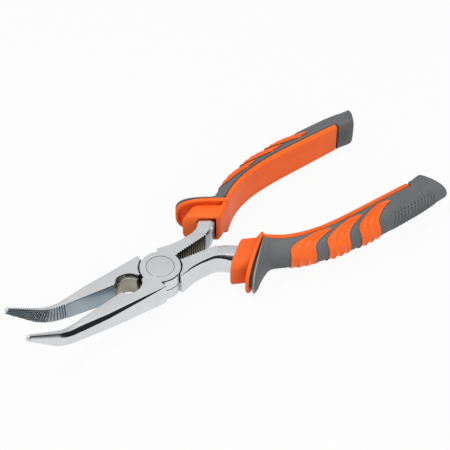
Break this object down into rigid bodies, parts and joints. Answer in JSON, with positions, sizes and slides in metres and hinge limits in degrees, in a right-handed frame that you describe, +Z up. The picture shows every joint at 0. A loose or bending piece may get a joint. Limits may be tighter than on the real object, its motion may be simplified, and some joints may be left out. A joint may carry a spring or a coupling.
{
  "type": "bent long-nose pliers",
  "caption": "Bent long-nose pliers: tapered toothed jaws on a riveted lap joint, and moulded grips of hard plastic with a soft cover and inlaid fins",
  "frame": {"origin": "on the pivot axis, at the flat underside of the joint", "axes": "+X from the pivot to the grips, -X to the jaw tips, +Z up along the pivot axis, the way the tips bend, +Y to the far grip"},
  "size_m": [0.1929, 0.0702, 0.0256],
  "materials": {
    "steel": "bright polished plating over forged steel",
    "rivet_steel": "ground flush and plated with the levers",
    "hard_orange": "satin moulded hard plastic",
    "soft_grey": "matte soft moulded cover"
  },
  "bodies": {
    "over_half": {"over_lever": "steel", "pivot_rivet": "rivet_steel", "far_grip_core": "hard_orange", "far_grip_cover": "soft_grey", "far_fin_front": "hard_orange", "far_fin_middle": "hard_orange", "far_fin_rear": "hard_orange"},
    "under_half": {"under_lever": "steel", "near_grip_core": "hard_orange", "near_grip_cover": "soft_grey", "near_fin_front": "hard_orange", "near_fin_middle": "hard_orange", "near_fin_rear": "hard_orange"}
  },
  "joints": [
    {"name": "pivot", "type": "hinge", "parent": "over_half", "child": "under_half", "pos_m": [0, 0, 0.0055], "axis": [0, 0, -1], "range_deg": [-13.2, 34]}
  ]
}
